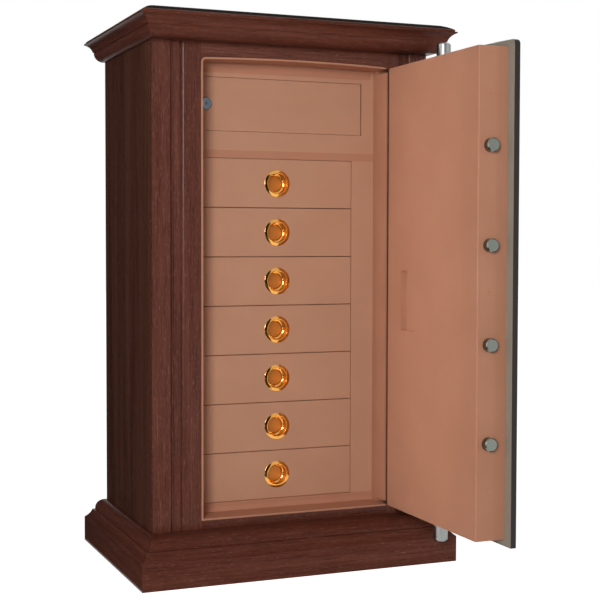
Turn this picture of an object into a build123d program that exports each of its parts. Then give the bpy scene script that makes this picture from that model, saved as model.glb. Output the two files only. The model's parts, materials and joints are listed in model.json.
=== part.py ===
"""Jewelry safe: a wooden case round a steel body, with an open door, seven drawers and a locker.

Sizes are in millimetres. X runs across the front, Y runs to the back and Z is up.
The origin is on the floor at the middle of the plinth. Depths are counted back
from the front face of the case, so the space in front of it has negative depths.
The door is drawn open by a quarter turn, as it stands at rest.
"""

import math
import os

from build123d import *

os.makedirs("parts", exist_ok=True)

# Case
door_space = 30.0  # from the front face to the front board of the plinth and the crown
board = 18.0  # wooden boards of the case
top_thickness = 24.0
base_thickness = 40.0

# Door opening in the wooden front
opening_width = 408.0
sill_rise = 16.5  # from the top of the plinth to the opening
head_rail = 28.5  # from the opening to the underside of the crown
stile_left = 31.0  # flat of the left pilaster, beside the opening
stile_right = 19.0
opening_rise = 4.0
opening_corner = 11.0

# Reveal that lines the opening
reveal_thickness = 4.0
reveal_front = 0.5
shadow_gap = 0.4

# Reeded edge of the front
edge_board = 40.7
edge_round = 6.0
groove_width = 4.5
groove_depth = 6.5
flute_width = 12.5
flute_depth = 4.0
bead_width = 8.5
bead_top = 0.4
bead_step = 1.0
stile_depth = 1.0

# Plinth moulding
plinth_height = 96.5
plinth_out = 41.0
plinth_face = 53.0
plinth_cove_out = 26.4
plinth_cove_top = 72.0
plinth_fillet_out = 21.2
plinth_bow = 1.5
plinth_top_out = 4.3

# Crown moulding
crown_height = 58.5
crown_start = 5.0
ovolo_out = 20.0
ovolo_height = 18.5
step_height = 4.0
step_out = 2.0
cove_out = 16.0
cove_height = 17.5
tip_height = 2.5
tip_back = 4.0
neck_height = 4.5
crown_bow = 1.8
top_out = 5.0

# Steel body
body_side_gap = 0.5
body_back = 34.5
cavity_depth = 300.0
anchor_side = 54.0  # from the sides of the cavity to the floor anchors
anchor_end = 75.0
anchor_radius = 7.0
anchor_access = 14.0

# Door
pivot_inset = 28.5
face_step = 1.0
panel_gap = 3.0
heel_clearance = 2.2
lock_gap = 16.0
casing_gap_bottom = 1.5
casing_gap_top = 1.5
casing_wall = 4.0
casing_end = 10.0
casing_edge = 2.5
panel_thickness = 13.0
panel_heel_gap = 2.5
panel_lap = 3.0
panel_lap_bottom = 7.0
panel_lap_top = 6.0
panel_corner = 9.0
panel_edge = 3.0

# Raised moulding and field on the outside of the door
moulding_inset = 35.0
moulding_width = 22.0
moulding_height = 10.0
moulding_round = 6.0
field_gap = 8.0
field_thickness = 6.0
field_chamfer = 5.0

# Door pivots
plate_thickness = 5.0
plate_half = 11.0
plate_grip = 58.0
pivot_radius = 6.0
pivot_length = 19.0
bush_radius = 9.0
bush_length = 17.0
turning_gap = 1.5
seat_gap = 1.0
weld_gap = 0.2
running_fit = 0.05

# Bolts
bolt_radius = 13.0
bolt_length = 60.0
bolt_out = 14.0
bolt_throw = 22.0
bolt_from_face = 25.0
bolt_edge = 2.0
bolt_rise = 180.2
bolt_pitch = 182.7
bolt_count = 4
strike_clearance = 1.0
strike_spare = 2.0
bar_width = 16.0
bar_thickness = 23.0
bar_over = 20.0

# Cup in the inner face of the door
cup_from_heel = 60.0
cup_width = 64.0
cup_rise = 368.5
cup_height = 126.0
cup_depth = 12.0
cup_wall = 2.0

# Handle and key lock
handle_from_edge = 90.0
handle_rise = 456.5
rose_radius = 26.0
rose_thickness = 8.0
spindle_radius = 5.0
spindle_inside = 36.0
grip_out = 16.0
grip_length = 100.0
grip_radius = 6.5
hub_radius = 10.0
key_drop = 90.0
key_radius = 15.0
key_thickness = 6.0
keyhole_radius = 2.5
keyhole_length = 8.0
keyhole_depth = 5.0

# Drawer cabinet
cabinet_gap = 4.0
drawer_count = 7
drawer_pitch = 100.8
cheek_left = 16.5
cheek_right = 54.5
floor_thickness = 21.5
drawer_gap = 0.6
front_thickness = 14.0
front_edge = 1.0
tray_side_gap = 5.5
tray_back_gap = 12.0
tray_lift = 8.0
tray_top_gap = 16.8
tray_wall = 8.0
tray_front_wall = 10.0
tray_floor = 6.0
slide_gap = 0.3
runner_width = 10.0
runner_height = 6.0
runner_setback = 18.0
frame_thickness = 16.0
slip_depth = 3.0
slip_height = 13.0

# Round pulls
pull_radius = 28.0
pull_lip = 1.5
pull_mouth = 21.0
pull_wall = 1.9
pull_depth = 20.0
pull_floor = 1.5

# Locker over the drawers
shelf_thickness = 16.0
locker_rail = 38.0
locker_stile_left = 12.0
locker_stile_right = 32.0
locker_height = 109.0
locker_head = 29.9
locker_gap = 0.6
locker_heel_gap = 2.0
locker_pin_inset = 4.0
locker_pin_radius = 2.0
locker_pin_reach = 10.0
locker_lock_inset = 18.4
locker_lock_radius = 12.0
locker_lock_lip = 2.5
locker_barrel_radius = 9.0
locker_barrel_length = 17.0
plug_radius = 5.0
cam_length = 26.0
cam_width = 12.0
cam_thickness = 2.0

# Door stops
stop_radius = 14.7
stop_gap = 0.3
stop_plinth_gap = 0.6
stop_reach_up = 36.0
stop_reach_down = 55.0
stop_edge = 3.0
bracket_thickness = 6.0
bracket_inset = 5.0
bracket_gap = 1.5
bracket_flange = 4.0
bracket_drop = 40.0

# Places that follow from the sizes
reed_width = edge_board + 2 * groove_width + flute_width + bead_width - bead_step
case_width = opening_width + stile_left + stile_right + 2 * reed_width
case_depth = 2 * board + cavity_depth + body_back + body_side_gap
half_width = case_width / 2
half_depth = (case_depth + door_space) / 2
front_y = door_space - half_depth
inside_half = half_width - board
opening_left = -half_width + reed_width + stile_left
opening_right = opening_left + opening_width
opening_bottom = plinth_height + sill_rise
drawers_left = opening_left + cheek_left
drawers_right = opening_right - cheek_right
drawers_bottom = opening_bottom + floor_thickness
drawers_top = drawers_bottom + drawer_count * drawer_pitch
locker_left = opening_left + locker_stile_left
locker_right = opening_right - locker_stile_right
locker_low = drawers_top + shelf_thickness + locker_rail
locker_high = locker_low + locker_height
opening_top = locker_high + locker_head
case_height = opening_top + head_rail + crown_height
sides_top = case_height - top_thickness
reveal_left = opening_left + reveal_thickness
reveal_right = opening_right - reveal_thickness
pivot_x = reveal_right + pivot_inset
pivot_y = pivot_inset
casing_inner = -(pivot_inset + face_step)
casing_outer = pivot_inset + panel_gap
casing_heel = pivot_inset * math.sqrt(2) + heel_clearance
casing_lock = pivot_x - reveal_left - lock_gap
casing_low = opening_bottom + reveal_thickness + casing_gap_bottom
casing_high = opening_top - reveal_thickness - casing_gap_top
panel_outer = casing_outer + panel_thickness
panel_heel = pivot_inset + panel_heel_gap
panel_lock = pivot_x - opening_left + panel_lap
panel_low = opening_bottom - panel_lap_bottom
panel_high = opening_top + panel_lap_top
cabinet_y = pivot_y - casing_inner + cabinet_gap
cavity_back = board + cavity_depth
cavity_z = (opening_bottom, opening_top + opening_rise)
field_outer = panel_outer + field_thickness
rose_outer = field_outer + rose_thickness
handle_u = panel_lock - handle_from_edge
handle_z = casing_low + handle_rise
bolt_v = casing_inner + bolt_from_face
bolt_tip = casing_lock + bolt_out
strike_left = pivot_x - bolt_tip - bolt_throw - strike_spare
bolt_low = casing_low + bolt_rise
cup_low = casing_low + cup_rise
tray_depth = cavity_back - tray_back_gap - cabinet_y - front_thickness
tray_height = drawer_pitch - tray_lift - tray_top_gap
pull_x = (drawers_left + drawers_right) / 2
pin_x = locker_right - locker_heel_gap - locker_pin_inset
pin_y = cabinet_y + locker_pin_inset
lock_x = locker_left + locker_lock_inset
lock_z = (locker_low + locker_high) / 2
stop_x = pivot_x + panel_outer + stop_gap + stop_radius
stop_y = -(door_space + plinth_out + stop_plinth_gap + stop_radius)
stop_top = panel_high + stop_reach_up
stop_bottom = panel_low - stop_reach_down
bracket_top = panel_high - bracket_inset
bracket_bottom = panel_low + bracket_inset


def block(x, y, z, mode=Mode.ADD):
    """Adds a box between the ends of x, y and z, with y counted back from the front face."""
    place = ((x[0] + x[1]) / 2, front_y + (y[0] + y[1]) / 2, (z[0] + z[1]) / 2)
    with Locations(place):
        Box(abs(x[1] - x[0]), abs(y[1] - y[0]), abs(z[1] - z[0]), mode=mode)


def door_block(u, v, z, mode=Mode.ADD):
    """Adds a box on the open door: u from the pivot to the lock edge, v outwards."""
    block((pivot_x + v[0], pivot_x + v[1]), (pivot_y - u[1], pivot_y - u[0]), z, mode)


def upright(x, y, z, radius, mode=Mode.ADD):
    """Adds an upright cylinder at x and depth y, between the heights z."""
    with Locations((x, front_y + y, (z[0] + z[1]) / 2)):
        Cylinder(radius, z[1] - z[0], mode=mode)


def across(x, y, z, radius, mode=Mode.ADD):
    """Adds a cylinder that runs along X between the ends x."""
    with Locations(((x[0] + x[1]) / 2, front_y + y, z)):
        Cylinder(radius, x[1] - x[0], rotation=(0, 90, 0), mode=mode)


def inward(x, y, z, radius, mode=Mode.ADD):
    """Adds a cylinder that runs along Y between the depths y."""
    with Locations((x, front_y + (y[0] + y[1]) / 2, z)):
        Cylinder(radius, y[1] - y[0], rotation=(90, 0, 0), mode=mode)


def facing(depth):
    """Returns the upright plane at a depth, with its normal to the front."""
    return Plane.XZ.offset(-(front_y + depth))


def arched(x, z, radius, rise):
    """Draws an upright outline with two round top corners and a gently arched top."""
    bend = radius * (1 - math.sqrt(0.5))
    Polyline((x[0], z[1] - radius), (x[0], z[0]), (x[1], z[0]), (x[1], z[1] - radius))
    ThreePointArc((x[1], z[1] - radius), (x[1] - bend, z[1] - bend), (x[1] - radius, z[1]))
    ThreePointArc((x[1] - radius, z[1]), ((x[0] + x[1]) / 2, z[1] + rise), (x[0] + radius, z[1]))
    ThreePointArc((x[0] + radius, z[1]), (x[0] + bend, z[1] - bend), (x[0], z[1] - radius))


def opening(inset):
    """Draws the door opening, smaller by the inset all round."""
    arched(
        (opening_left + inset, opening_right - inset),
        (opening_bottom + inset, opening_top - inset),
        opening_corner - inset,
        opening_rise,
    )


def pivot_slots():
    """Cuts the corner slots in which the pivot plates of the door turn."""
    reach = plate_half + turning_gap
    for low in (casing_low, casing_high - plate_thickness):
        block(
            (reveal_right - 2 * reach, pivot_x + reach),
            (-1, pivot_y + reach),
            (low - turning_gap, low + plate_thickness + turning_gap),
            Mode.SUBTRACT,
        )


def strike_holes(x):
    """Cuts the holes that the bolts enter, between the ends x."""
    for n in range(bolt_count):
        across(
            x, pivot_y - bolt_v, bolt_low + n * bolt_pitch, bolt_radius + strike_clearance, Mode.SUBTRACT
        )


def export(part, name):
    """Labels a finished part and writes it under its name."""
    part.part.label = name
    export_step(part.part, f"parts/{name}.step")


# Plinth: a moulded board round the foot, mitred at its corners
def plinth_outline(half):
    """Draws the plinth's outline across, for half the width of what it goes round."""
    Line((-half - plinth_out, 0), (half + plinth_out, 0))
    for side in (-1, 1):
        face = side * (half + plinth_out)
        cove = side * (half + plinth_cove_out)
        fillet = side * (half + plinth_fillet_out)
        edge = side * (half + plinth_top_out)
        Line((face, 0), (face, plinth_face))
        ThreePointArc(
            (face, plinth_face),
            (side * (half + (plinth_out + 2 * plinth_cove_out) / 3), (plinth_face + plinth_cove_top) / 2),
            (cove, plinth_cove_top),
        )
        Line((cove, plinth_cove_top), (fillet, plinth_cove_top))
        ThreePointArc(
            (fillet, plinth_cove_top),
            (side * (half + plinth_fillet_out - plinth_top_out + plinth_bow), plinth_height - plinth_out / 4),
            (edge, plinth_height),
        )
        Line((edge, plinth_height), (0, plinth_height))


with BuildPart() as plinth:
    with BuildSketch(Plane.XZ):
        with BuildLine():
            plinth_outline(half_width)
        make_face()
    extrude(amount=case_depth, both=True)
    with BuildSketch(Plane.YZ):
        with BuildLine():
            plinth_outline(half_depth)
        make_face()
    extrude(amount=case_width, both=True, mode=Mode.INTERSECT)
    block((-half_width, half_width), (0, case_depth), (0, plinth_height), Mode.SUBTRACT)
export(plinth, "plinth")


# Crown: a moulding round the top, mitred at its corners
def crown_outline(half):
    """Draws the crown's outline across, for half the width of what it goes round."""
    low = case_height - crown_height
    step = low + ovolo_height + step_height
    cove_end = step + cove_height
    neck = cove_end + tip_height
    for side in (-1, 1):
        start = side * (half + crown_start)
        ovolo = side * (half + ovolo_out)
        cove = side * (half + ovolo_out + step_out)
        tip = side * (half + ovolo_out + step_out + cove_out)
        back = tip - side * tip_back
        edge = side * (half + top_out)
        Line((0, low), (start, low))
        ThreePointArc(
            (start, low),
            (side * (half + crown_start + (ovolo_out - crown_start) * 0.75), low + ovolo_height * 0.45),
            (ovolo, low + ovolo_height),
        )
        Polyline((ovolo, low + ovolo_height), (ovolo, step), (cove, step))
        ThreePointArc(
            (cove, step), (cove + side * cove_out * 0.35, step + cove_height * 0.62), (tip, cove_end)
        )
        Polyline((tip, cove_end), (tip, neck), (back, neck), (back, neck + neck_height))
        ThreePointArc(
            (back, neck + neck_height),
            ((back + edge) / 2, (neck + neck_height + case_height) / 2 + crown_bow),
            (edge, case_height),
        )
        Line((edge, case_height), (0, case_height))


with BuildPart() as crown:
    with BuildSketch(Plane.XZ):
        with BuildLine():
            crown_outline(half_width)
        make_face()
    extrude(amount=case_depth, both=True)
    with BuildSketch(Plane.YZ):
        with BuildLine():
            crown_outline(half_depth)
        make_face()
    extrude(amount=case_width, both=True, mode=Mode.INTERSECT)
    block(
        (-half_width, half_width), (0, case_depth), (case_height - crown_height, case_height), Mode.SUBTRACT
    )
export(crown, "crown")

# Wooden boards of the case
with BuildPart() as top_board:
    block((-half_width, half_width), (0, case_depth), (sides_top, case_height))
export(top_board, "top_board")

with BuildPart() as side_panel_left:
    block((-half_width, -inside_half), (board, case_depth), (0, sides_top))
export(side_panel_left, "side_panel_left")

with BuildPart() as side_panel_right:
    block((inside_half, half_width), (board, case_depth), (0, sides_top))
export(side_panel_right, "side_panel_right")

with BuildPart() as back_panel:
    block((-inside_half, inside_half), (case_depth - board, case_depth), (0, sides_top))
export(back_panel, "back_panel")


# Reeded pilasters beside the door opening
def pilaster_outline(side, inner):
    """Draws a pilaster's section: a round-edged board, a flute, a bead and a flat stile."""
    lip = half_width - edge_board
    flute = lip - groove_width
    bead = flute - flute_width - groove_width + bead_step
    stile = bead - bead_width
    bend = edge_round * (1 - math.sqrt(0.5))

    def at(x, y):
        return (side * x, front_y + y)

    Polyline(at(inner, stile_depth), at(inner, board), at(half_width, board), at(half_width, 0))
    Line(at(half_width, 0), at(lip + edge_round, 0))
    ThreePointArc(at(lip + edge_round, 0), at(lip + bend, bend), at(lip, edge_round))
    Polyline(
        at(lip, edge_round),
        at(lip, groove_depth),
        at(flute, groove_depth),
        at(flute, flute_depth),
        at(flute - flute_width, flute_depth),
        at(flute - flute_width, groove_depth),
        at(bead, groove_depth),
        at(bead, flute_depth),
    )
    ThreePointArc(at(bead, flute_depth), at(bead - bead_width / 2, bead_top), at(stile, stile_depth))
    Line(at(stile, stile_depth), at(inner, stile_depth))


with BuildPart() as pilaster_left:
    with BuildSketch(Plane.XY):
        with BuildLine():
            pilaster_outline(-1, -opening_left)
        make_face()
    extrude(amount=sides_top)
export(pilaster_left, "pilaster_left")

with BuildPart() as pilaster_right:
    with BuildSketch(Plane.XY):
        with BuildLine():
            pilaster_outline(1, opening_right)
        make_face()
    extrude(amount=sides_top)
    pivot_slots()
export(pilaster_right, "pilaster_right")

with BuildPart() as top_rail:
    block((opening_left, opening_right), (stile_depth, board), (opening_top - opening_corner, sides_top))
    with BuildSketch(facing(board)):
        with BuildLine():
            opening(0)
        make_face()
    extrude(amount=board, mode=Mode.SUBTRACT)
    pivot_slots()
export(top_rail, "top_rail")

with BuildPart() as bottom_rail:
    block((opening_left, opening_right), (stile_depth, board), (0, opening_bottom))
export(bottom_rail, "bottom_rail")

# Base plate under the steel body, with four holes for floor anchors
anchor_places = [
    (x, y)
    for x in (opening_left + anchor_side, opening_right - anchor_side)
    for y in (board + anchor_end, cavity_back - anchor_end)
]
with BuildPart() as base_plate:
    block((-inside_half, inside_half), (board, case_depth - board), (0, base_thickness))
    for place_x, place_y in anchor_places:
        upright(place_x, place_y, (0, base_thickness), anchor_radius, Mode.SUBTRACT)
export(base_plate, "base_plate")

# Steel body: five thick slabs round the cavity, with the pivot seats in the right one
body_half = inside_half - body_side_gap
body_z = (base_thickness, sides_top)
wall_depths = (board, cavity_back - weld_gap)
between_walls = (strike_left + weld_gap, opening_right - weld_gap)
with BuildPart() as steel_body:
    block((-body_half, body_half), (cavity_back, case_depth - board - body_side_gap), body_z)
    block((-body_half, strike_left), wall_depths, body_z)
    block((opening_right, body_half), wall_depths, body_z)
    block(between_walls, wall_depths, (base_thickness, opening_bottom))
    block(between_walls, wall_depths, (cavity_z[1], sides_top))
    for place_x, place_y in anchor_places:
        upright(place_x, place_y, (base_thickness, opening_bottom), anchor_radius, Mode.SUBTRACT)
    pivot_slots()
    for low in (casing_low - turning_gap - bush_length, casing_high + turning_gap):
        upright(pivot_x, pivot_y, (low, low + bush_length), bush_radius, Mode.SUBTRACT)
    for low in (casing_low - pivot_length - turning_gap, casing_high):
        pin_z = (low, low + pivot_length + turning_gap)
        upright(pivot_x, pivot_y, pin_z, pivot_radius + seat_gap, Mode.SUBTRACT)
export(steel_body, "steel_body")

with BuildPart() as strike_plate:
    block((strike_left, opening_left), (board, cavity_back), cavity_z)
    strike_holes((strike_left, opening_left))
export(strike_plate, "strike_plate")

with BuildPart() as pivot_bushes:
    for low in (casing_low - turning_gap - bush_length, casing_high + turning_gap):
        upright(pivot_x, pivot_y, (low, low + bush_length), bush_radius)
        upright(pivot_x, pivot_y, (low, low + bush_length), pivot_radius + running_fit, Mode.SUBTRACT)
export(pivot_bushes, "pivot_bushes")

# Reveal that lines the opening from the front face to the cabinet: a sill, two jambs and a head
lining_x = (opening_left + shadow_gap, opening_right - shadow_gap)
lining_depths = (reveal_front, cabinet_y)
jamb_z = (opening_bottom + reveal_thickness, opening_top - opening_corner)
with BuildPart() as sill_lining:
    block(lining_x, lining_depths, (opening_bottom + shadow_gap, opening_bottom + reveal_thickness))
export(sill_lining, "sill_lining")

with BuildPart() as jamb_left:
    block((lining_x[0], reveal_left), lining_depths, jamb_z)
    strike_holes((lining_x[0], reveal_left))
export(jamb_left, "jamb_left")

with BuildPart() as jamb_right:
    block((reveal_right, lining_x[1]), lining_depths, jamb_z)
    pivot_slots()
export(jamb_right, "jamb_right")

with BuildPart() as head_lining:
    with BuildSketch(facing(cabinet_y)):
        with BuildLine():
            opening(shadow_gap)
        make_face()
        with BuildLine():
            opening(reveal_thickness)
        make_face(mode=Mode.SUBTRACT)
    extrude(amount=cabinet_y - reveal_front)
    block(lining_x, lining_depths, (opening_bottom, opening_top - opening_corner), Mode.SUBTRACT)
    pivot_slots()
export(head_lining, "head_lining")


# Hollow slips in the corners between the reveal and the cabinet
def slip_outline(corner, rise):
    """Draws a hollow slip's section from its corner height, up or down by the rise."""
    back = front_y + cabinet_y
    thin = back - slip_depth / 6
    Polyline((back - slip_depth, corner), (back, corner), (back, corner + rise), (thin, corner + rise))
    ThreePointArc(
        (thin, corner + rise), (back - slip_depth / 3, corner + rise / 3), (back - slip_depth, corner)
    )


corner_left = opening_corner - reveal_thickness
with BuildPart() as head_slip:
    with BuildSketch(Plane.YZ.offset(reveal_left + corner_left)):
        with BuildLine():
            slip_outline(opening_top - reveal_thickness, -slip_height - reveal_thickness)
        make_face()
    extrude(amount=reveal_right - reveal_left - 2 * corner_left)
export(head_slip, "head_slip")

with BuildPart() as sill_slip:
    with BuildSketch(Plane.YZ.offset(reveal_left)):
        with BuildLine():
            slip_outline(opening_bottom + reveal_thickness, slip_height)
        make_face()
    extrude(amount=reveal_right - reveal_left)
export(sill_slip, "sill_slip")

# Cabinet boards
cabinet_depths = (cabinet_y, cavity_back)
with BuildPart() as cabinet_floor:
    block((opening_left, opening_right), cabinet_depths, (opening_bottom, drawers_bottom))
    for place_x, place_y in anchor_places:
        upright(place_x, place_y, (opening_bottom, drawers_bottom), anchor_access, Mode.SUBTRACT)
export(cabinet_floor, "cabinet_floor")

with BuildPart() as cabinet_cheek_left:
    block((opening_left, drawers_left), cabinet_depths, (drawers_bottom, drawers_top))
export(cabinet_cheek_left, "cabinet_cheek_left")

with BuildPart() as cabinet_stile:
    block(
        (drawers_right, opening_right),
        (cabinet_y, cabinet_y + frame_thickness),
        (drawers_bottom, drawers_top),
    )
export(cabinet_stile, "cabinet_stile")

with BuildPart() as cabinet_cheek_right:
    block(
        (drawers_right, drawers_right + frame_thickness),
        (cabinet_y + frame_thickness, cavity_back),
        (drawers_bottom, drawers_top),
    )
export(cabinet_cheek_right, "cabinet_cheek_right")

with BuildPart() as cabinet_shelf:
    block((opening_left, opening_right), cabinet_depths, (drawers_top, drawers_top + shelf_thickness))
export(cabinet_shelf, "cabinet_shelf")

with BuildPart() as drawer_runners:
    for n in range(drawer_count):
        low = drawers_bottom + n * drawer_pitch + tray_lift - slide_gap - runner_height
        for x in ((drawers_left, drawers_left + runner_width), (drawers_right - runner_width, drawers_right)):
            block(x, (cabinet_y + runner_setback, cavity_back), (low, low + runner_height))
export(drawer_runners, "drawer_runners")

with BuildPart() as locker_frame:
    frame_depths = (cabinet_y, cabinet_y + frame_thickness)
    block((opening_left, opening_right), frame_depths, (drawers_top + shelf_thickness, opening_top))
    block((locker_left, locker_right), frame_depths, (locker_low, locker_high), Mode.SUBTRACT)
    upright(
        pin_x,
        pin_y,
        (locker_low - locker_pin_reach - 1, locker_high + locker_pin_reach + 1),
        locker_pin_radius + running_fit,
        Mode.SUBTRACT,
    )
export(locker_frame, "locker_frame")

# Drawers and their round pulls
tray_x = (drawers_left + tray_side_gap, drawers_right - tray_side_gap)
tray_back = cabinet_y + front_thickness + tray_depth
for n in range(drawer_count):
    low = drawers_bottom + n * drawer_pitch
    pull_z = low + drawer_pitch / 2
    tray_low = low + tray_lift
    with BuildPart() as drawer:
        block(
            (drawers_left + drawer_gap, drawers_right - drawer_gap),
            (cabinet_y, cabinet_y + front_thickness),
            (low + drawer_gap, low + drawer_pitch - drawer_gap),
        )
        chamfer(drawer.faces().sort_by(Axis.Y)[0].edges(), front_edge)
        block(tray_x, (cabinet_y + front_thickness, tray_back), (tray_low, tray_low + tray_height))
        block(
            (tray_x[0] + tray_wall, tray_x[1] - tray_wall),
            (cabinet_y + front_thickness + tray_front_wall, tray_back - tray_wall),
            (tray_low + tray_floor, tray_low + tray_height),
            Mode.SUBTRACT,
        )
        inward(
            pull_x,
            (cabinet_y, cabinet_y + pull_depth + pull_floor - pull_lip),
            pull_z,
            pull_mouth + pull_wall + running_fit,
            Mode.SUBTRACT,
        )
    export(drawer, f"drawer_{n + 1}")

    with BuildPart() as pull:
        inward(pull_x, (cabinet_y - pull_lip, cabinet_y), pull_z, pull_radius)
        fillet(pull.faces().sort_by(Axis.Y)[0].edges(), pull_lip * 0.9)
        cup_back = cabinet_y + pull_depth + pull_floor - pull_lip
        inward(pull_x, (cabinet_y, cup_back), pull_z, pull_mouth + pull_wall)
        inward(pull_x, (cabinet_y - pull_lip, cup_back - pull_floor), pull_z, pull_mouth, Mode.SUBTRACT)
    export(pull, f"pull_{n + 1}")

# Locker door, its pivot pins, and its lock
with BuildPart() as locker_door:
    leaf_right = locker_right - locker_heel_gap
    block(
        (locker_left + locker_gap, leaf_right),
        (cabinet_y, cabinet_y + frame_thickness),
        (locker_low + locker_gap, locker_high - locker_gap),
    )
    chamfer(locker_door.faces().sort_by(Axis.Y)[0].edges(), front_edge / 2)
    for low in (locker_low, locker_high - locker_pin_reach):
        upright(
            pin_x, pin_y, (low, low + locker_pin_reach), locker_pin_radius + running_fit, Mode.SUBTRACT
        )
    inward(
        lock_x,
        (cabinet_y, cabinet_y + frame_thickness),
        lock_z,
        locker_barrel_radius + running_fit,
        Mode.SUBTRACT,
    )
export(locker_door, "locker_door")

with BuildPart() as locker_pins:
    for middle in (locker_low, locker_high):
        upright(
            pin_x, pin_y, (middle - locker_pin_reach + 1, middle + locker_pin_reach - 1), locker_pin_radius
        )
export(locker_pins, "locker_pins")

with BuildPart() as locker_lock:
    barrel_back = cabinet_y + locker_barrel_length
    inward(lock_x, (cabinet_y - locker_lock_lip, cabinet_y), lock_z, locker_lock_radius)
    fillet(locker_lock.faces().sort_by(Axis.Y)[0].edges(), locker_lock_lip / 2)
    inward(lock_x, (cabinet_y, barrel_back), lock_z, locker_barrel_radius)
    inward(
        lock_x, (cabinet_y - locker_lock_lip, barrel_back), lock_z, plug_radius + running_fit, Mode.SUBTRACT
    )
export(locker_lock, "locker_lock")

with BuildPart() as locker_cam:
    inward(lock_x, (cabinet_y - locker_lock_lip + 0.5, barrel_back + slide_gap), lock_z, plug_radius)
    block(
        (lock_x - keyhole_radius / 2, lock_x + keyhole_radius / 2),
        (cabinet_y - locker_lock_lip, cabinet_y + keyhole_depth),
        (lock_z - keyhole_radius, lock_z + keyhole_radius),
        Mode.SUBTRACT,
    )
    block(
        (lock_x - cam_width / 2, lock_x + cam_width / 2),
        (barrel_back + slide_gap, barrel_back + slide_gap + cam_thickness),
        (lock_z - cam_length, lock_z + cam_width / 2),
    )
export(locker_cam, "locker_cam")

# Door casing: a steel tray that the wooden door panel closes
casing_z = (casing_low, casing_high)
casing_v = (casing_inner, casing_outer)
cup_u = (casing_heel + cup_from_heel, casing_heel + cup_from_heel + cup_width)
cup_z = (cup_low, cup_low + cup_height)
with BuildPart() as door_casing:
    door_block((casing_heel, casing_lock), casing_v, casing_z)
    fillet(door_casing.edges().filter_by(Axis.Z).group_by(Axis.X)[0], casing_edge)
    door_block(
        (casing_heel + casing_wall, casing_lock - casing_wall),
        (casing_inner + casing_wall, casing_outer),
        (casing_low + casing_end, casing_high - casing_end),
        Mode.SUBTRACT,
    )
    for low in (casing_low, casing_high - plate_thickness):
        door_block(
            (casing_heel, casing_heel + plate_grip),
            (-plate_half, plate_half),
            (low, low + plate_thickness),
            Mode.SUBTRACT,
        )
    for n in range(bolt_count):
        with Locations((pivot_x + bolt_v, front_y + pivot_y - casing_lock, bolt_low + n * bolt_pitch)):
            Cylinder(bolt_radius + running_fit, 3 * casing_wall, rotation=(90, 0, 0), mode=Mode.SUBTRACT)
    door_block(cup_u, (casing_inner, casing_inner + casing_wall), cup_z, Mode.SUBTRACT)
export(door_casing, "door_casing")

with BuildPart() as pull_recess:
    door_block(cup_u, (casing_inner, casing_inner + cup_depth + cup_wall), cup_z)
    door_block(
        (cup_u[0] + cup_wall, cup_u[1] - cup_wall),
        (casing_inner, casing_inner + cup_depth),
        (cup_z[0] + cup_wall, cup_z[1] - cup_wall),
        Mode.SUBTRACT,
    )
export(pull_recess, "pull_recess")


# Pivot plates in the ends of the casing, each with its pin
def pivot_plate(low, pin_low):
    """Makes a plate from its lowest height, with a pin that starts at its own height."""
    plate_z = (low, low + plate_thickness)
    door_block((0, casing_heel + plate_grip), (-plate_half, plate_half), plate_z)
    upright(pivot_x, pivot_y, plate_z, plate_half)
    upright(pivot_x, pivot_y, (pin_low, pin_low + pivot_length), pivot_radius)


with BuildPart() as pivot_plate_top:
    pivot_plate(casing_high - plate_thickness, casing_high)
export(pivot_plate_top, "pivot_plate_top")

with BuildPart() as pivot_plate_bottom:
    pivot_plate(casing_low, casing_low - pivot_length)
export(pivot_plate_bottom, "pivot_plate_bottom")

# Wooden door panel with an arched top
with BuildPart() as door_panel:
    with BuildSketch(Plane.YZ.offset(pivot_x + casing_outer)):
        with BuildLine():
            arched(
                (front_y + pivot_y - panel_lock, front_y + pivot_y - panel_heel),
                (panel_low, panel_high),
                panel_corner,
                opening_rise,
            )
        make_face()
    extrude(amount=panel_thickness)
    fillet(door_panel.faces().sort_by(Axis.X)[-1].edges(), panel_edge)
    across(
        (pivot_x + casing_outer, pivot_x + panel_outer),
        pivot_y - handle_u,
        handle_z,
        spindle_radius + seat_gap,
        Mode.SUBTRACT,
    )
export(door_panel, "door_panel")

ring_u = (panel_heel + moulding_inset, panel_lock - moulding_inset)
ring_z = (panel_low + moulding_inset, panel_high - moulding_inset)
inner_u = (ring_u[0] + moulding_width, ring_u[1] - moulding_width)
inner_z = (ring_z[0] + moulding_width, ring_z[1] - moulding_width)
with BuildPart() as door_moulding:
    door_block(ring_u, (panel_outer, panel_outer + moulding_height), ring_z)
    fillet(door_moulding.faces().sort_by(Axis.X)[-1].edges(), moulding_round)
    door_block(inner_u, (panel_outer, panel_outer + moulding_height), inner_z, Mode.SUBTRACT)
export(door_moulding, "door_moulding")

with BuildPart() as door_field:
    door_block(
        (inner_u[0] + field_gap, inner_u[1] - field_gap),
        (panel_outer, field_outer),
        (inner_z[0] + field_gap, inner_z[1] - field_gap),
    )
    chamfer(door_field.faces().sort_by(Axis.X)[-1].edges(), field_chamfer)
    across(
        (pivot_x + panel_outer, pivot_x + field_outer),
        pivot_y - handle_u,
        handle_z,
        spindle_radius + seat_gap,
        Mode.SUBTRACT,
    )
export(door_field, "door_field")

# Bolts and the bar that carries them
with BuildPart() as bolts:
    for n in range(bolt_count):
        with Locations(
            (pivot_x + bolt_v, front_y + pivot_y - bolt_tip + bolt_length / 2, bolt_low + n * bolt_pitch)
        ):
            Cylinder(bolt_radius, bolt_length, rotation=(90, 0, 0))
    chamfer(bolts.faces().filter_by(Axis.Y).group_by(Axis.Y)[0].edges(), bolt_edge)
export(bolts, "bolts")

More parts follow.
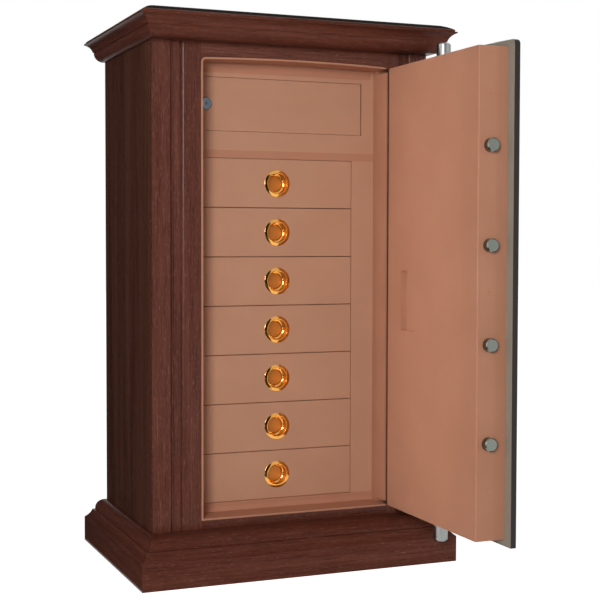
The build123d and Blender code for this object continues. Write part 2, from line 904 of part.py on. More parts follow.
with BuildPart() as bolt_bar:
    door_block(
        (bolt_tip - bolt_length - bar_width, bolt_tip - bolt_length),
        (bolt_v - bar_thickness / 2, bolt_v + bar_thickness / 2),
        (bolt_low - bar_over, bolt_low + (bolt_count - 1) * bolt_pitch + bar_over),
    )
export(bolt_bar, "bolt_bar")

# Handle with its rose, and the key lock
with BuildPart() as handle_rose:
    across(
        (pivot_x + field_outer, pivot_x + rose_outer), pivot_y - handle_u, handle_z, rose_radius
    )
    fillet(handle_rose.faces().sort_by(Axis.X)[-1].edges(), rose_thickness / 3)
    across(
        (pivot_x + field_outer, pivot_x + rose_outer),
        pivot_y - handle_u,
        handle_z,
        spindle_radius + running_fit,
        Mode.SUBTRACT,
    )
export(handle_rose, "handle_rose")

grip_v = rose_outer + grip_out
with BuildPart() as door_handle:
    across(
        (pivot_x + field_outer - spindle_inside, pivot_x + grip_v),
        pivot_y - handle_u,
        handle_z,
        spindle_radius,
    )
    across(
        (pivot_x + rose_outer + slide_gap, pivot_x + grip_v + grip_radius),
        pivot_y - handle_u,
        handle_z,
        hub_radius,
    )
    with Locations((pivot_x + grip_v, front_y + pivot_y - handle_u + grip_length / 2, handle_z)):
        Cylinder(grip_radius, grip_length, rotation=(90, 0, 0))
    with Locations((pivot_x + grip_v, front_y + pivot_y - handle_u + grip_length, handle_z)):
        Sphere(grip_radius)
export(door_handle, "door_handle")

with BuildPart() as key_lock:
    across(
        (pivot_x + field_outer, pivot_x + field_outer + key_thickness),
        pivot_y - handle_u,
        handle_z - key_drop,
        key_radius,
    )
    fillet(key_lock.faces().sort_by(Axis.X)[-1].edges(), key_thickness / 4)
    across(
        (pivot_x + field_outer + key_thickness - keyhole_depth, pivot_x + field_outer + key_thickness),
        pivot_y - handle_u,
        handle_z - key_drop,
        keyhole_radius,
        Mode.SUBTRACT,
    )
    door_block(
        (handle_u - keyhole_radius / 2, handle_u + keyhole_radius / 2),
        (field_outer + key_thickness - keyhole_depth, field_outer + key_thickness),
        (handle_z - key_drop - keyhole_length, handle_z - key_drop),
        Mode.SUBTRACT,
    )
export(key_lock, "key_lock")


# Door stops: round posts on welded brackets, against which the open panel rests
def door_stop(plate_z, flange_z, post_z):
    """Makes a stop from the heights of its plate, of its flange and of its post."""
    near = pivot_x + panel_outer + bracket_gap
    block((near, half_width), (stop_y, 0), plate_z)
    block((near, stop_x + stop_radius), (stop_y - stop_radius, stop_y + stop_radius), plate_z)
    block((near, half_width), (-bracket_flange, 0), flange_z)
    upright(stop_x, stop_y, post_z, stop_radius)


with BuildPart() as door_stop_top:
    door_stop(
        (bracket_top - bracket_thickness, bracket_top),
        (bracket_top - bracket_drop, bracket_top),
        (bracket_top, stop_top),
    )
    chamfer(door_stop_top.faces().sort_by(Axis.Z)[-1].edges(), stop_edge)
export(door_stop_top, "door_stop_top")

with BuildPart() as door_stop_bottom:
    door_stop(
        (bracket_bottom, bracket_bottom + bracket_thickness),
        (bracket_bottom, bracket_bottom + bracket_drop),
        (stop_bottom, bracket_bottom),
    )
    chamfer(door_stop_bottom.faces().sort_by(Axis.Z)[0].edges(), stop_edge)
export(door_stop_bottom, "door_stop_bottom")
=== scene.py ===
# %% [markdown]
# # A jewelry safe, lit and finished
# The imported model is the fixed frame: every solid is already where it belongs, in metres.
# This lesson gives each solid its real finish and adds the fine pieces that solids leave out.

# %% Frame
import json
import math

import bpy
import numpy as np
from mathutils import Matrix, Vector


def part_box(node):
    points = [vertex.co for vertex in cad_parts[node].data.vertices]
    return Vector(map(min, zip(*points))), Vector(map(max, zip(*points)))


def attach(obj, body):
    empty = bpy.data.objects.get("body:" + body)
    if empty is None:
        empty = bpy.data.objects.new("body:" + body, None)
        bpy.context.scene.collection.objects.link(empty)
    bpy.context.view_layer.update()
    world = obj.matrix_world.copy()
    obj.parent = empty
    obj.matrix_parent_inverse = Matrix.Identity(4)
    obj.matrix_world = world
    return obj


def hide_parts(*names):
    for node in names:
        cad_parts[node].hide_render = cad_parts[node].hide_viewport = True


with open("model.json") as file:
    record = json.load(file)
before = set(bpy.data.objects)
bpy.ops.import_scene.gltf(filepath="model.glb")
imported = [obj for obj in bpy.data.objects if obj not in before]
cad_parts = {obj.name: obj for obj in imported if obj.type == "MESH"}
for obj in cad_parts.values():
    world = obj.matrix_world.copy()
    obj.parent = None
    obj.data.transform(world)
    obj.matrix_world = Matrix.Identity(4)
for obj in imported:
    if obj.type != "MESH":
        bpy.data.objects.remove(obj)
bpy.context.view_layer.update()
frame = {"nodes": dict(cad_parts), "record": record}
print("nodes in the frame:", len(frame["nodes"]))

# %% [markdown]
# ## Camera
# The photograph was taken from the front left, a little over half way up the safe. A long lens
# keeps the uprights almost parallel. The camera could be placed by eye, but a fit to the case's
# corners in the photograph gives its place and its turn to within a pixel, so that is used.

# %% Camera
FRONT_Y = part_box("pilaster_left")[0].y
FRAME_PIXELS = 600
FOCAL_PIXELS = 1312.4
SHIFT_PIXELS = -5.0
SENSOR_MM = 36.0
YAW, PITCH, ROLL = 0.389, 0.042, 0.002  # in radians
CAMERA_X, CAMERA_TO_FRONT, CAMERA_Z = -1.0015, 2.4751, 0.6736
NEAREST, FARTHEST = 0.05, 60.0

forward = Vector(
    (math.sin(YAW) * math.cos(PITCH), math.cos(YAW) * math.cos(PITCH), -math.sin(PITCH))
)
right = Vector((math.cos(YAW), -math.sin(YAW), 0.0))
up = right.cross(forward)
turned_right = right * math.cos(ROLL) + up * math.sin(ROLL)
turned_up = up * math.cos(ROLL) - right * math.sin(ROLL)
lens = bpy.data.cameras.new("photo_lens")
lens.sensor_width = SENSOR_MM
lens.lens = FOCAL_PIXELS / FRAME_PIXELS * SENSOR_MM
lens.shift_y = SHIFT_PIXELS / FRAME_PIXELS
lens.clip_start = NEAREST
lens.clip_end = FARTHEST
camera = bpy.data.objects.new("photo_camera", lens)
turn = Matrix((turned_right, turned_up, -forward)).transposed()
place = Vector((CAMERA_X, FRONT_Y - CAMERA_TO_FRONT, CAMERA_Z))
camera.matrix_world = Matrix.Translation(place) @ turn.to_4x4()
bpy.context.scene.collection.objects.link(camera)
bpy.context.scene.camera = camera
bpy.context.scene.view_settings.view_transform = "Standard"
print("lens", round(lens.lens, 1), "mm")


# %% [markdown]
# ## Colours and materials
# A colour picked on a screen is in sRGB, and a shader wants linear light, so one function turns
# hex values to linear. Two more hand a finished material to the solids, by name or by the slot
# that the record gives each of them.


# %% Colours and materials
def linear(code):
    """Turns an sRGB hex code into linear red, green, blue and alpha.

    Below 0.04045 a channel is divided by 12.92; above it, (c + 0.055) / 1.055 to the power 2.4.
    """
    channels = np.array([int(code[i : i + 2], 16) for i in (1, 3, 5)]) / 255
    low = channels / 12.92
    high = ((channels + 0.055) / 1.055) ** 2.4
    return (*np.where(channels <= 0.04045, low, high).tolist(), 1.0)


def material(name):
    """Makes an empty node material and returns it with its tree and its surface shader."""
    made = bpy.data.materials.new(name)
    made.use_nodes = True
    tree = made.node_tree
    return made, tree, tree.nodes["Principled BSDF"]


def put_on(made, names):
    """Gives a material to CAD nodes through their material slots."""
    for name in names:
        mesh = frame["nodes"][name].data
        mesh.materials.clear()
        mesh.materials.append(made)


def in_slot(slot):
    """Lists the CAD nodes that take their finish from a slot of the record."""
    return [part["node"] for part in frame["record"]["subparts"] if part["material_slot"] == slot]


# %% [markdown]
# ## Nodes
# A material is a small graph: places on the surface feed noises, noises feed ramps, and ramps
# feed the shader. The graph could be drawn by hand in the editor. A helper for each kind of
# node keeps it in a few lines instead, so that every material below reads as a recipe.

# %% Nodes
BLACK, HALF_GREY, WHITE = (0, 0, 0, 1), (0.5, 0.5, 0.5, 1), (1, 1, 1, 1)
MIX_SOCKETS = {"FLOAT": (2, 3, 0), "VECTOR": (4, 5, 1), "RGBA": (6, 7, 2)}  # two in, one out


def feed(tree, socket, value):
    """Links an output into a socket, or sets the socket to a plain value."""
    if isinstance(value, bpy.types.NodeSocket):
        tree.links.new(value, socket)
    else:
        socket.default_value = value


def tune(tree, node, **settings):
    """Sets a node's properties and feeds its inputs; an underscore stands for a space."""
    for key, value in settings.items():
        if hasattr(node, key):
            setattr(node, key, value)
        else:
            feed(tree, node.inputs[key.replace("_", " ")], value)
    return node


def add(tree, kind, **settings):
    """Adds a node of a kind and tunes it."""
    return tune(tree, tree.nodes.new(kind), **settings)


def calc(tree, operation, first, second=0.0):
    """Works out one step of arithmetic and returns its value."""
    node = add(tree, "ShaderNodeMath", operation=operation)
    feed(tree, node.inputs[0], first)
    feed(tree, node.inputs[1], second)
    return node.outputs[0]


def mix(tree, kind, factor, first, second, blend="MIX"):
    """Mixes two values of a data type, from the first at factor 0 to the second at factor 1."""
    node = add(tree, "ShaderNodeMix", data_type=kind, blend_type=blend)
    at_first, at_second, out = MIX_SOCKETS[kind]
    for at, value in ((0, factor), (at_first, first), (at_second, second)):
        feed(tree, node.inputs[at], value)
    return node.outputs[out]


def own_place(tree):
    """Returns the place of a surface point in its own object, in metres."""
    return add(tree, "ShaderNodeTexCoord").outputs["Object"]


def own_axis(tree, axis):
    """Returns one axis of the place of a surface point in its own object."""
    return add(tree, "ShaderNodeSeparateXYZ", Vector=own_place(tree)).outputs[axis]


def squeezed(tree, place, scale):
    """Multiplies a place by a factor for each axis."""
    return add(tree, "ShaderNodeMapping", Vector=place, Scale=scale).outputs["Vector"]


def noise(tree, place, scale, detail, **settings):
    """Returns soft noise from 0 to 1, whose spots are about 1 / scale metres wide."""
    node = add(tree, "ShaderNodeTexNoise", Vector=place, Scale=scale, Detail=detail, **settings)
    return node.outputs["Fac"]


def ramp(tree, source, places, colours):
    """Turns a value into a colour by a ramp with one colour at each place."""
    node = add(tree, "ShaderNodeValToRGB", Fac=source)
    band = node.color_ramp
    while len(band.elements) < len(places):
        band.elements.new(0.5)
    for element, at, colour in zip(band.elements, places, colours):
        element.position = at
        element.color = colour
    return node.outputs["Color"]


def spread_over(tree, source, low, high):
    """Stretches a value from 0 to 1 so that it runs from low to high."""
    node = add(tree, "ShaderNodeMapRange", Value=source, To_Min=low, To_Max=high)
    return node.outputs["Result"]


def dented(tree, height, strength, distance):
    """Returns a surface direction bent as if the value were a height in the surface."""
    node = add(tree, "ShaderNodeBump", Height=height, Strength=strength, Distance=distance)
    return node.outputs["Normal"]


# %% [markdown]
# ## Grain
# The grain runs along each board: upright in the sides and pilasters, across in the rails, and
# round the corner at each mitre of the crown and plinth. A picture of wood could be wrapped on,
# but it would stretch and repeat. Noise in a space that is squeezed along the board does
# neither, and its spots come out as long streaks.

# %% Grain
MITRE_X, MITRE_Y = 0.2987, 0.2005  # the case's corner, where a mitre starts
ALONG = 0.035  # how much slower the grain changes along the board than across it


def grain_space(tree, run, along=ALONG):
    """Returns coordinates in metres, squeezed along the grain's run: X, Y, Z or round a ring.

    Round a ring it runs along Y where |x| - MITRE_X is over |y| - MITRE_Y, and else along X.
    """
    place = own_place(tree)
    scales = {"X": (along, 1, 1), "Y": (1, along, 1), "Z": (1, 1, along)}
    if run in scales:
        return squeezed(tree, place, scales[run])
    parts = add(tree, "ShaderNodeSeparateXYZ", Vector=place)
    past_corner = [
        calc(tree, "SUBTRACT", calc(tree, "ABSOLUTE", parts.outputs[axis]), corner)
        for axis, corner in (("X", MITRE_X), ("Y", MITRE_Y))
    ]
    on_side = calc(tree, "GREATER_THAN", *past_corner)
    along_x, along_y = (squeezed(tree, place, scales[axis]) for axis in ("X", "Y"))
    return mix(tree, "VECTOR", on_side, along_x, along_y)


# %% [markdown]
# ## Dark stained wood
# The case is beech and oak boards under a dark reddish brown stain and a satin varnish. The
# stain sinks into the pores, so the eye sees long dark dashes over a broad soft figure, and the
# varnish lays a soft gloss over both. Pores are really 0.3 mm wide. They are drawn about
# 1.5 mm wide so that they show. The streaks also steer the gloss, as they do in real varnish.

# %% Wood
FIGURE_SCALE, STREAK_SCALE, PORE_SCALE, GLINT_SCALE = 26.0, 210.0, 640.0, 620.0
STREAK_SHARE = 0.42  # of the streaks against the figure in the tone
TONE_PLACES = (0.38, 0.5, 0.62)
PORE_PLACES, PORE_SHARE = (0.36, 0.45), 0.75
PORE_STRENGTH, PORE_DEPTH = 0.12, 0.0004
# Painted highlight: pale glints standing for light caught on the pore edges.
GLINT_ALONG, GLINT_PLACES, PAINTED_GLINT_COLOUR = 0.13, (0.61, 0.72), "#A8847A"
DULLEST = 0.16  # how much rougher the dullest streak is than the glossiest
VARNISH_IOR = 1.5


def stained_wood(name, run, tones, gloss=0.17, shine=0.16, glint_share=0.17):
    """Makes stained wood from three tones: figure, streaks, pores that dent, and pale glints
    painted as highlights on the pore edges.
    """
    made, tree, shader = material(name)
    place = grain_space(tree, run)
    figure = noise(tree, place, FIGURE_SCALE, 5.0, Distortion=0.6)
    streaks = noise(tree, place, STREAK_SCALE, 4.0, Roughness=0.65)
    pores = noise(tree, place, PORE_SCALE, 2.0)
    glint_noise = noise(tree, grain_space(tree, run, GLINT_ALONG), GLINT_SCALE, 1.0)
    lay = mix(tree, "FLOAT", STREAK_SHARE, figure, streaks)
    tone = ramp(tree, lay, TONE_PLACES, [linear(code) for code in tones])
    dashes = ramp(tree, pores, PORE_PLACES, (HALF_GREY, WHITE))
    porous = mix(tree, "RGBA", PORE_SHARE, tone, dashes, "MULTIPLY")
    # Painted highlight: the glints mix a pale colour into the wood.
    glint_amount = calc(tree, "MULTIPLY", ramp(tree, glint_noise, GLINT_PLACES, (BLACK, WHITE)), glint_share)
    tune(
        tree,
        shader,
        Base_Color=mix(tree, "RGBA", glint_amount, porous, linear(PAINTED_GLINT_COLOUR)),
        Roughness=spread_over(tree, streaks, gloss, gloss + DULLEST),
        Normal=dented(tree, dashes, PORE_STRENGTH, PORE_DEPTH),
        IOR=VARNISH_IOR,
        Specular_IOR_Level=shine,
    )
    return made


FRONT_TONES = ("#50271B", "#5B3024", "#673A2D")
# Painted shade: the side tones are darker than the front's, for the dimmer light on the sides.
SHADED_SIDE_TONES = ("#43241A", "#502F23", "#5C382B")
wood_up = stained_wood("stained_beech_upright", "Z", FRONT_TONES)
wood_across = stained_wood("stained_beech_across", "X", FRONT_TONES)
wood_round = stained_wood(
    "stained_beech_moulding", "ring", FRONT_TONES, gloss=0.24, shine=0.08, glint_share=0.14
)
# Painted shade: the sides and back take the darker side tones.
veneer_with_painted_shade = stained_wood("stained_oak_veneer_with_painted_shade", "Z", SHADED_SIDE_TONES, gloss=0.42, shine=0.06, glint_share=0.14)
put_on(wood_up, in_slot("case_wood"))
put_on(wood_across, ["top_rail", "bottom_rail", "top_board", "base_plate"])
put_on(wood_round, ["plinth"])
put_on(veneer_with_painted_shade, ["side_panel_left", "side_panel_right", "back_panel"])
print("wood on", len(in_slot("case_wood")), "nodes")

# %% [markdown]
# ## The crown's lip in painted shade
# The top edge of the crown is painted dull black as painted shade, standing for the shade that
# lies along it. It could be a strip of its own. The crown is one solid here, so its wood is
# copied and turns black above a height.

# %% Lip in painted shade
# Painted shade: the top of the crown, to this height, is drawn dull black.
LIP_HEIGHT = 0.0105
PAINTED_SHADE_COLOUR, LIP_ROUGHNESS = "#1F1714", 0.95


def source_of(shader, name):
    """Returns the output that feeds one of a shader's inputs."""
    return shader.inputs[name].links[0].from_socket


def with_painted_shade_lip(wood):
    """Copies a wood and turns its colour and its gloss to dull black above the lip's edge:
    painted shade.
    """
    made = wood.copy()
    made.name = "stained_beech_with_painted_shade_lip"
    tree = made.node_tree
    shader = tree.nodes["Principled BSDF"]
    above = calc(tree, "GREATER_THAN", own_axis(tree, "Z"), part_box("crown")[1].z - LIP_HEIGHT)
    brown, satin = source_of(shader, "Base Color"), source_of(shader, "Roughness")
    tune(
        tree,
        shader,
        # Painted shade: above the edge the colour turns to dull black.
        Base_Color=mix(tree, "RGBA", above, brown, linear(PAINTED_SHADE_COLOUR)),
        Roughness=mix(tree, "FLOAT", above, satin, LIP_ROUGHNESS),
    )
    return made


put_on(with_painted_shade_lip(wood_round), ["crown"])
print("lip on the crown,", LIP_HEIGHT, "m high")

# %% [markdown]
# ## Door panel
# Only the outside of the door's panel is stained. Its edge is sealed in black, and the side
# towards the casing is bare grey board. Each could be a sheet of its own, but the panel is one
# solid, so one material tells the three apart by how far out they lie.

# %% Door panel
BARE_DEPTH, STAIN_DEPTH = 0.0002, 0.0012
BARE_BOARD, SEALED_EDGE = "#8A8377", "#2B2726"


def panel_finish():
    """Makes the door panel's finish in three layers, told apart by Object X in metres.

    The first BARE_DEPTH from the casing is bare board, the last STAIN_DEPTH is the stained wood
    of the front, and all between them is sealed in black.
    """
    made = wood_up.copy()
    made.name = "stained_beech_with_sealed_edge"
    tree = made.node_tree
    shader = tree.nodes["Principled BSDF"]
    low, high = (corner.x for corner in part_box("door_panel"))
    across = own_axis(tree, "X")
    past_face = calc(tree, "GREATER_THAN", across, low + BARE_DEPTH)
    past_edge = calc(tree, "GREATER_THAN", across, high - STAIN_DEPTH)
    unstained = mix(tree, "RGBA", past_face, linear(BARE_BOARD), linear(SEALED_EDGE))
    wood = source_of(shader, "Base Color")
    tune(tree, shader, Base_Color=mix(tree, "RGBA", past_edge, unstained, wood))
    return made


put_on(panel_finish(), ["door_panel"])
print("panel finished in three layers")

# %% [markdown]
# ## Tan lacquer
# Everything inside, and the door's casing, has a matt tan lacquer, sprayed and faintly pebbled.
# The cabinet's fronts are painted a shade paler, as painted light that makes up for the shade
# deep in the opening. It has almost no gloss, so its planes differ only by the light on them. The
# pebble is under a millimetre and is drawn at 1.2 mm.

# %% Tan lacquer
CLOUD_SCALE, CLOUD_PLACES = 9.0, (0.35, 0.65)
PEBBLE_SCALE, PEBBLE_STRENGTH, PEBBLE_DEPTH = 820.0, 0.15, 0.0003
LACQUER_ROUGHNESS, LACQUER_SHINE = 0.62, 0.25


def tan_lacquer(name, dark, light):
    """Makes the lacquer: two close tones in soft clouds, a fine pebble and a matt finish."""
    made, tree, shader = material(name)
    place = own_place(tree)
    cloud = noise(tree, place, CLOUD_SCALE, 3.0)
    pebble = noise(tree, place, PEBBLE_SCALE, 2.0)
    tune(
        tree,
        shader,
        Base_Color=ramp(tree, cloud, CLOUD_PLACES, (linear(dark), linear(light))),
        Normal=dented(tree, pebble, PEBBLE_STRENGTH, PEBBLE_DEPTH),
        Roughness=LACQUER_ROUGHNESS,
        Specular_IOR_Level=LACQUER_SHINE,
    )
    return made


lacquer = tan_lacquer("tan_matt_lacquer", "#AD785E", "#B17C62")
# Painted light: the cabinet's fronts take a paler copy of the lacquer, against the shade in the
# opening.
lacquer_painted_lighter = tan_lacquer("tan_matt_lacquer_painted_lighter", "#B4856A", "#B8896E")
CABINET = [f"drawer_{n}" for n in range(1, 8)] + ["cabinet_stile", "locker_frame", "locker_door"]
put_on(lacquer, in_slot("tan_lacquer"))
put_on(lacquer_painted_lighter, CABINET)
print("lacquer on", len(in_slot("tan_lacquer")), "nodes")

# %% [markdown]
# ## Metals
# The pulls are polished brass with a blasted floor, the posts and plates are satin steel, the
# bolts are a darker turned steel, and the locker lock is dark chrome. Polish leaves faint
# scratches and turning leaves rings, so each gets a little unevenness in its roughness instead
# of one number.

# %% Metals
SCRATCH_DEPTH = 0.0002


def metal(name, colour, low, high, scale, stretch=(1, 1, 1), bump=0.05):
    """Makes a metal whose roughness wanders between low and high, at a scale per metre."""
    made, tree, shader = material(name)
    wander = noise(tree, squeezed(tree, own_place(tree), stretch), scale, 4.0)
    tune(
        tree,
        shader,
        Roughness=spread_over(tree, wander, low, high),
        Normal=dented(tree, wander, bump, SCRATCH_DEPTH),
        Base_Color=linear(colour),
        Metallic=1.0,
    )
    return made


brass = metal("polished_brass", "#D99E50", 0.07, 0.13, 220.0, bump=0.02)
steel = metal("satin_turned_steel", "#8C8E8D", 0.24, 0.36, 500.0, stretch=(1, 1, 0.08))
chrome = metal("dark_chrome_plate", "#5E646B", 0.14, 0.24, 300.0)
blasted_brass = metal("blasted_brass", "#C07C3C", 0.5, 0.6, 900.0)
dark_steel = metal("dark_turned_steel", "#747872", 0.2, 0.3, 500.0)
put_on(brass, in_slot("pull_brass"))
put_on(steel, in_slot("satin_steel"))
put_on(dark_steel, ["bolts"])
put_on(chrome, in_slot("lock_chrome"))
print("brass on", len(in_slot("pull_brass")), "nodes, steel on", len(in_slot("satin_steel")))

# %% [markdown]
# ## Turned pieces
# Pulls and plugs are turned on a lathe, so each is one profile swept round an axis. The profile
# is a row of (radius, height) points, and the sweep places every point at
# radius * cos(turn) and radius * sin(turn) round the axis. A radius of zero closes a pole.


# %% Lathe
def turned(name, profile, centre, axis, steps=96):
    """Sweeps a profile of (radius, height) points round an axis through a centre.

    With a and b square to the axis, a point is at centre + height * axis
    + radius * (cos(turn) * a + sin(turn) * b). Points run from the outside in, seen from the
    end that the axis points to, so faces look outwards.
    """
    axis = Vector(axis).normalized()
    a = axis.orthogonal().normalized()
    b = axis.cross(a)
    turns = np.linspace(0, 2 * math.pi, steps, endpoint=False)
    ring = np.outer(np.cos(turns), a) + np.outer(np.sin(turns), b)
    points, rows = [], []
    for radius, height in profile:
        rows.append(len(points))
        middle = np.array(centre) + height * np.array(axis)
        points += [middle] if radius == 0 else list(middle + radius * ring)
    faces = []
    for row in range(len(profile) - 1):
        first, second = rows[row], rows[row + 1]
        for n in range(steps):
            m = (n + 1) % steps
            if profile[row][0] == 0:
                faces.append((first, second + m, second + n))
            elif profile[row + 1][0] == 0:
                faces.append((first + n, first + m, second))
            else:
                faces.append((first + n, first + m, second + m, second + n))
    mesh = bpy.data.meshes.new(name)
    mesh.from_pydata([tuple(p) for p in points], [], faces)
    mesh.shade_smooth()
    piece = bpy.data.objects.new(name, mesh)
    bpy.context.scene.collection.objects.link(piece)
    return piece


def rounded(start, end, bulge, steps=8):
    """Returns points from start to end that bow sideways by the bulge, as a parabola does."""
    (r0, h0), (r1, h1) = start, end
    length = math.hypot(r1 - r0, h1 - h0)
    side = ((h1 - h0) / length, -(r1 - r0) / length)
    points = []
    for t in np.linspace(0, 1, steps + 1):
        bow = 4 * bulge * t * (1 - t)
        points.append((r0 + (r1 - r0) * t + side[0] * bow, h0 + (h1 - h0) * t + side[1] * bow))
    return points


# %% [markdown]
# ## Ring pulls
# Each pull is a turned brass cup with a gently domed flange. The flange falls away towards the
# rim, which splits the ring into a light and a dark half. The wall is polished down to a rounded
# foot, and the floor is blasted, so that it stays dull. The plain solid would do from far off,
# but the dome and the rolled lip make the thin bright lines that the eye looks for.

# %% Pulls
MOUTH_SHARE = 0.75  # the mouth's radius against the rim's
CUP_WALL, CUP_FLOOR = 0.0018, 0.0015
RIM_BACK, RIM_FRONT, DOME = -0.0016, -0.0015, 0.00012
ROLLED_LIP, LIP_BULGE = 0.0006, 0.00015
TAPER = 0.0004  # how much the wall closes in towards the foot
FOOT_HEIGHT, FOOT_WIDTH, FOOT_BULGE = 0.006, 0.0056, 0.0015
FLOOR_EDGE, FLOOR_RING = 0.0004, 0.4  # rings in the floor: from its edge, and of the mouth
FLOOR_FROM, FLOOR_FACING = 0.6, -0.5  # how deep a face of the floor lies, and how it faces


def pull_profile(radius, deep):
    """Returns the profile of a cup, and the radius of its floor.

    It runs from the floor's back out to the rim and in again. Heights count from the crest of
    the flange, so the others are below zero.
    """
    mouth = radius * MOUTH_SHARE
    barrel = mouth + CUP_WALL
    foot = mouth - FOOT_WIDTH
    bottom = CUP_FLOOR - deep
    crest, wall_top = (mouth + ROLLED_LIP, 0.0), (mouth, -ROLLED_LIP)
    wall_end = (mouth - TAPER, bottom + FOOT_HEIGHT)
    profile = [(0, -deep), (barrel, -deep), (barrel, RIM_BACK), (radius, RIM_BACK)]
    profile += rounded((radius, RIM_FRONT), crest, DOME)
    profile += rounded(crest, wall_top, LIP_BULGE, 4)[1:]
    profile += rounded(wall_top, wall_end, 0.0, 2)[1:]
    profile += rounded(wall_end, (foot, bottom), FOOT_BULGE, 10)[1:]
    profile += [(foot - FLOOR_EDGE, bottom), (mouth * FLOOR_RING, bottom), (0, bottom)]
    return profile, foot


def pull(n):
    """Makes one pull from its CAD box: domed flange, wall, rounded foot and blasted floor."""
    low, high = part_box(f"pull_{n}")
    deep = high.y - low.y
    profile, foot = pull_profile((high.x - low.x) / 2, deep)
    centre = ((low.x + high.x) / 2, low.y, (low.z + high.z) / 2)
    piece = turned(f"ring_pull_{n}", profile, centre, (0, -1, 0))
    piece.data.materials.append(brass)
    piece.data.materials.append(blasted_brass)
    for face in piece.data.polygons:
        middle = face.center - Vector(centre)
        near_axis = Vector((middle.x, middle.z)).length < foot
        on_floor = middle.y > FLOOR_FROM * deep and face.normal.y < FLOOR_FACING
        face.material_index = int(near_axis and on_floor)
    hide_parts(f"pull_{n}")
    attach(piece, f"tray_{n}")


for n in range(1, 8):
    pull(n)
print("pulls turned")

# %% [markdown]
# ## Plugs in the door's edge
# Three small plugs close the screw holes in the door's lock edge. They have the lacquer of the
# door and a shallow dimple, so that only their rims show. They could be painted on, but a thin
# turned disc catches the light on its rim by itself.

# %% Plugs
PLUG_RADIUS, PLUG_X, PLUG_HEIGHTS = 0.0052, 0.230, (0.209, 0.575, 0.936)
SUNK, EDGE, PROUD, DIMPLE = -0.0004, 0.0002, 0.0006, -0.0002  # heights over the door's edge
lock_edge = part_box("door_casing")[0].y
profile = [(PLUG_RADIUS, SUNK), (PLUG_RADIUS, EDGE), (PLUG_RADIUS - PROUD, PROUD)]
profile += rounded((PLUG_RADIUS - 2 * PROUD, PROUD), (0, DIMPLE), DIMPLE)
for n, height in enumerate(PLUG_HEIGHTS):
    piece = turned(f"edge_plug_{n + 1}", profile, (PLUG_X, lock_edge, height), (0, -1, 0), 48)
    piece.data.materials.append(lacquer)
    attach(piece, "door")
print("plugs set")

# %% [markdown]
# ## Floor and background
# The photograph has the safe on plain white. The floor is a pale sheet that glows a little to
# the camera, so that it reaches white where nothing shades it and still shows the soft shadow
# under the plinth. The world is white to the camera, to gloss and to glass, and dimmer as light.

# %% Floor and world
FLOOR_HALF, FLOOR_GREY, FLOOR_GLOW = 14.0, 0.8, 0.88
MATT = 0.9
AMBIENT, BACKGROUND = 0.3, 1.0


def flat_piece(name, low, high):
    """Makes a flat rectangle, level or upright, from its lowest and highest corner."""
    (x0, y0, z0), (x1, y1, z1) = low, high
    level = [(x0, y0, z0), (x1, y0, z0), (x1, y1, z0), (x0, y1, z0)]
    upright = [(x0, y0, z0), (x1, y1, z0), (x1, y1, z1), (x0, y0, z1)]
    mesh = bpy.data.meshes.new(name)
    mesh.from_pydata(level if z0 == z1 else upright, [], [(0, 1, 2, 3)])
    piece = bpy.data.objects.new(name, mesh)
    bpy.context.scene.collection.objects.link(piece)
    return piece


def seen_directly(tree):
    """Returns 1 for rays from the camera, off gloss or through glass, and 0 for others."""
    path = add(tree, "ShaderNodeLightPath").outputs
    first = calc(tree, "MAXIMUM", path["Is Camera Ray"], path["Is Glossy Ray"])
    return calc(tree, "MAXIMUM", first, path["Is Transmission Ray"])


floor = flat_piece("studio_floor", (-FLOOR_HALF, -FLOOR_HALF, 0), (FLOOR_HALF, FLOOR_HALF, 0))
made, tree, shader = material("pale_studio_floor")
tune(
    tree,
    shader,
    Base_Color=(FLOOR_GREY, FLOOR_GREY, FLOOR_GREY, 1),
    Roughness=MATT,
    Specular_IOR_Level=0.0,
    Emission_Color=WHITE,
    Emission_Strength=calc(tree, "MULTIPLY", seen_directly(tree), FLOOR_GLOW),
)
floor.data.materials.append(made)

world = bpy.data.worlds.new("studio_world")
bpy.context.scene.world = world
world.use_nodes = True
tree = world.node_tree
ambient = add(tree, "ShaderNodeBackground", Color=WHITE, Strength=AMBIENT)
white = add(tree, "ShaderNodeBackground", Color=WHITE, Strength=BACKGROUND)
chosen = add(tree, "ShaderNodeMixShader")
sources = (seen_directly(tree), ambient.outputs[0], white.outputs[0])
for socket, source in zip(chosen.inputs, sources):
    feed(tree, socket, source)
feed(tree, tree.nodes["World Output"].inputs["Surface"], chosen.outputs[0])
print("floor and background set")

# %% [markdown]
# ## Cards
# Satin varnish mirrors what stands round it, and in a white studio that turns dark wood grey.
# Photographers stand black cards out of the picture to keep it dark. Two cards here also hold
# off some light, as real ones do. The others are seen by gloss alone, so that they darken the
# varnish and leave the floor and the shadow as they are.

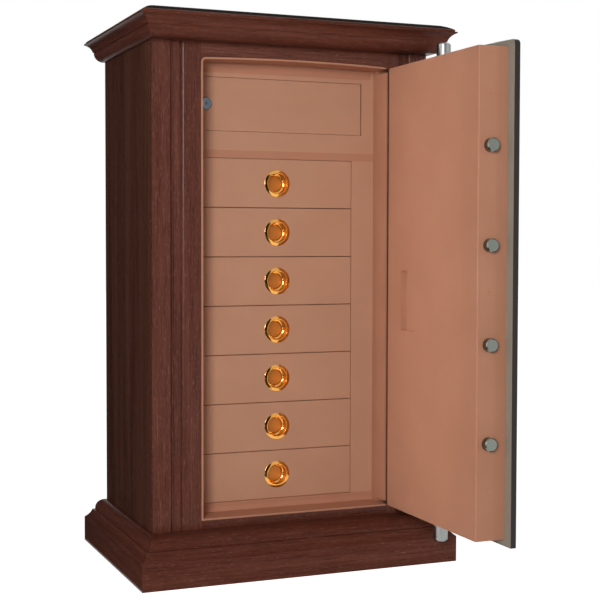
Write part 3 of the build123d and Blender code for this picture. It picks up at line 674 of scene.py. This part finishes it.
# %% Cards
CARD_COLOUR = "#101010"
CARDS = [  # name, lowest corner, highest corner, and whether it holds off light
    ("card_left", (-0.75, 0.1, 0), (-0.75, 2.6, 2.2), True),
    ("card_behind_camera", (-2.4, -3.5, 0), (0.35, -3.5, 2.2), True),
    ("card_on_floor", (-6.0, -0.25, 0.004), (-0.33, 6.0, 0.004), False),
    ("card_in_front", (-1.3, -3.4, 0.004), (0.1, -0.75, 0.004), False),
    ("card_far_left", (-3.2, -0.6, 0), (-3.2, 7.0, 5.0), False),
    ("card_rear_left", (-3.5, 3.4, 0), (-0.25, 3.4, 4.0), False),
    ("card_above", (-3.2, 0.3, 3.0), (-0.2, 7.0, 3.0), False),
]


def dark_card(name, low, high, shades):
    """Adds a black card out of the picture, for gloss to mirror; it may hold off light too."""
    card = flat_piece(name, low, high)
    made, tree, shader = material(name)
    tune(tree, shader, Base_Color=linear(CARD_COLOUR), Roughness=MATT)
    card.data.materials.append(made)
    card.visible_camera = False
    card.visible_diffuse = card.visible_shadow = shades


for card in CARDS:
    dark_card(*card)
print("cards set:", len(CARDS))

# %% [markdown]
# ## Lamps
# The photograph's light is broad and soft and comes from the front left, so the key is a lamp
# nearly a metre square. A tall thin strip at the right draws an upright line on posts and pulls.
# A weak narrow beam passes in front of the case and brightens the inner face of the door alone,
# which the key reaches only at a slant.

# %% Lamps
LAMPS = [  # name, place, target, width and height, watts, and spread in degrees
    ("key", (-1.9, -3.1, 1.25), (0, -0.15, 0.6), (0.9, 0.9), 78, 180),
    ("upright_strip", (2.0, -2.3, 0.75), (-0.2, -0.2, 0.6), (0.1, 1.5), 5, 180),
    ("door_light", (-2.6, -0.47, 0.66), (0.22, -0.37, 0.6), (0.15, 1.1), 0.4, 13),
]


def soft_lamp(name, where, target, size, power, spread):
    """Adds a lamp of a given width and height at a place, turned to its target."""
    lamp = bpy.data.lights.new(name, "AREA")
    lamp.shape = "RECTANGLE"
    lamp.size, lamp.size_y = size
    lamp.spread = math.radians(spread)
    lamp.energy = power
    holder = bpy.data.objects.new(name, lamp)
    direction = Vector(target) - Vector(where)
    holder.rotation_euler = direction.to_track_quat("-Z", "Y").to_euler()
    holder.location = where
    bpy.context.scene.collection.objects.link(holder)


for lamp in LAMPS:
    soft_lamp(*lamp)
print("lamps set:", len(LAMPS))
